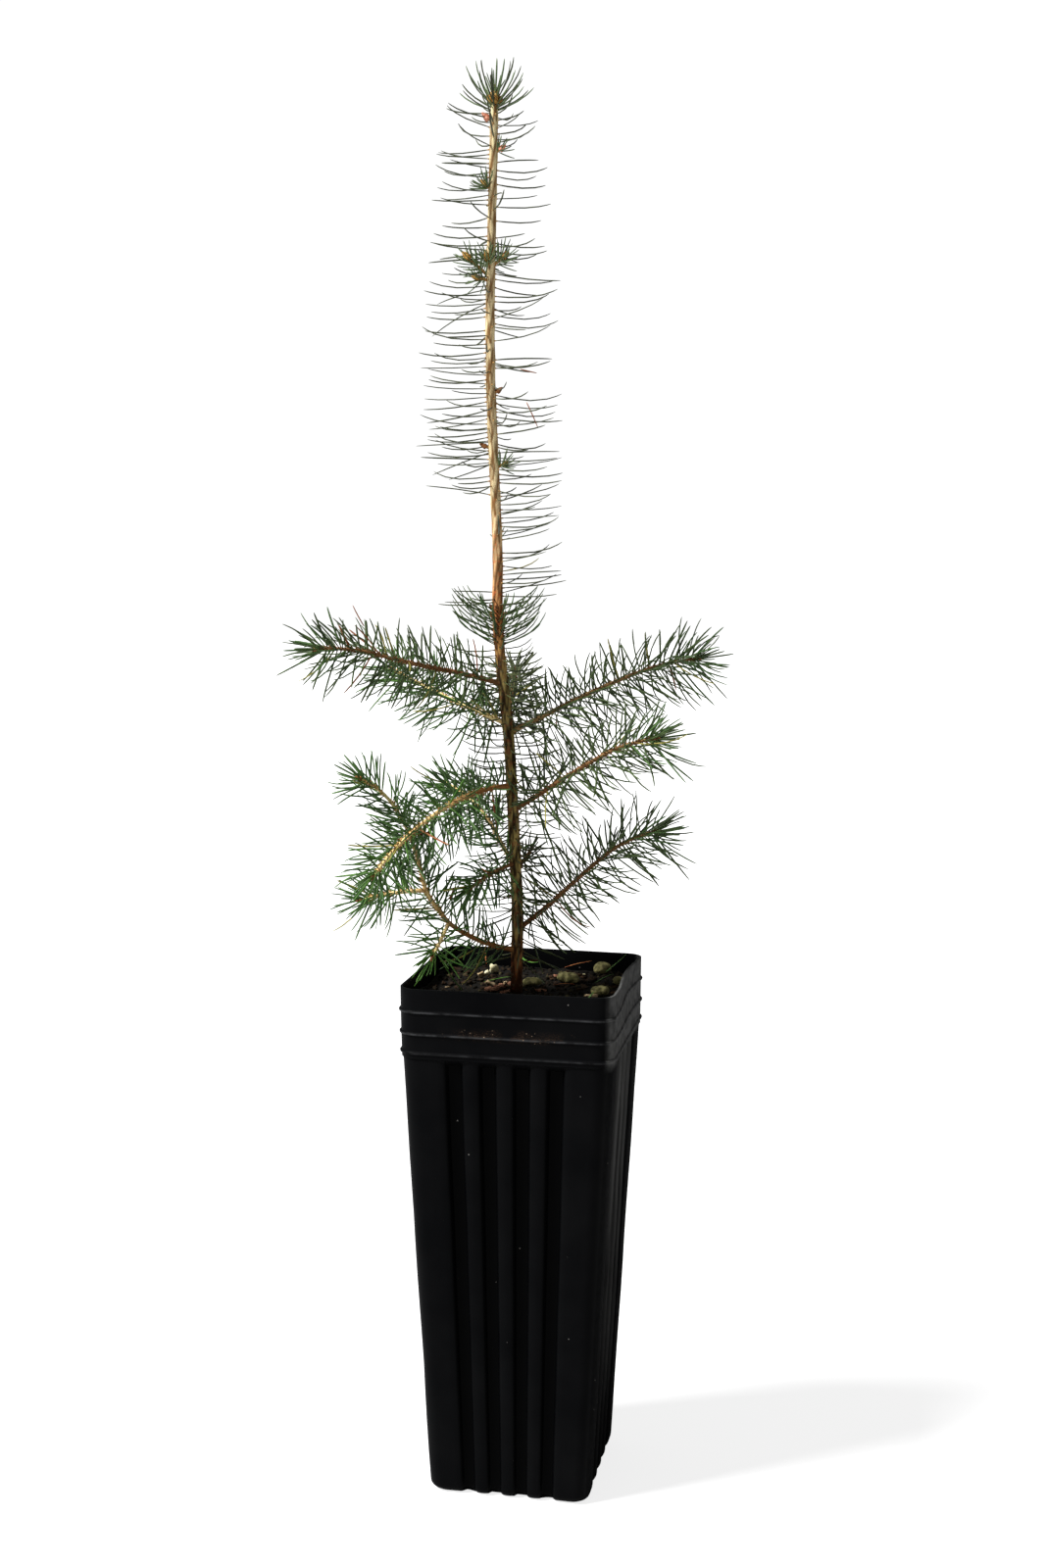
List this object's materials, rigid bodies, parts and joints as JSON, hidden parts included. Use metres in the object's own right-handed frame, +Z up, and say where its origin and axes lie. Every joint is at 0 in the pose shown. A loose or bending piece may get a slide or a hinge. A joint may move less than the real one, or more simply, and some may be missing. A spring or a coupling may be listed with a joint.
{
  "type": "potted norway spruce",
  "caption": "Young Norway spruce with one upright leader and needled boughs, growing in a tall square fluted nursery pot filled with bark mix.",
  "frame": {"origin": "centre of the pot's flat underside, on the surface that the pot stands on", "axes": "+Z up along the tree, -Y out of the pot's front side, +X to the right of that side"},
  "size_m": [0.1985, 0.1512, 0.673],
  "materials": {
    "pot": "black moulded plastic with a soft sheen",
    "soil": "dark damp bark and peat mix",
    "pebble": "smooth olive pebbles",
    "bark": "thin ridged brown bark",
    "needles": "dark blue-green needles"
  },
  "bodies": {
    "root": {"bough_back": "bark", "bough_back_left": "bark", "bough_back_low": "bark", "bough_back_short": "bark", "bough_front_left": "bark", "bough_front_short": "bark", "bough_left_low": "bark", "bough_left_low_bend": "bark", "bough_left_upper": "bark", "bough_right_low": "bark", "bough_right_mid": "bark", "bough_right_upper": "bark", "needles_back": "needles", "needles_back_left": "needles", "needles_back_low": "needles", "needles_back_short": "needles", "needles_front_left": "needles", "needles_front_short": "needles", "needles_leader_knots": "needles", "needles_leader_low": "needles", "needles_leader_mid": "needles", "needles_leader_top": "needles", "needles_leader_tuft": "needles", "needles_leader_upper": "needles", "needles_left_low_hang": "needles", "needles_left_low_rise": "needles", "needles_left_low_side": "needles", "needles_left_upper": "needles", "needles_right_low": "needles", "needles_right_mid": "needles", "needles_right_upper": "needles", "needles_stem_1": "needles", "needles_stem_2": "needles", "needles_stem_3": "needles", "needles_stem_4": "needles", "needles_stem_5": "needles", "needles_stem_6": "needles", "needles_stem_7": "needles", "needles_whorl": "needles", "pebble_back": "pebble", "pebble_corner": "pebble", "pebble_left": "pebble", "pebble_middle": "pebble", "pebble_side": "pebble", "pot": "pot", "soil_fill": "soil", "trunk": "bark"}
  },
  "joints": []
}
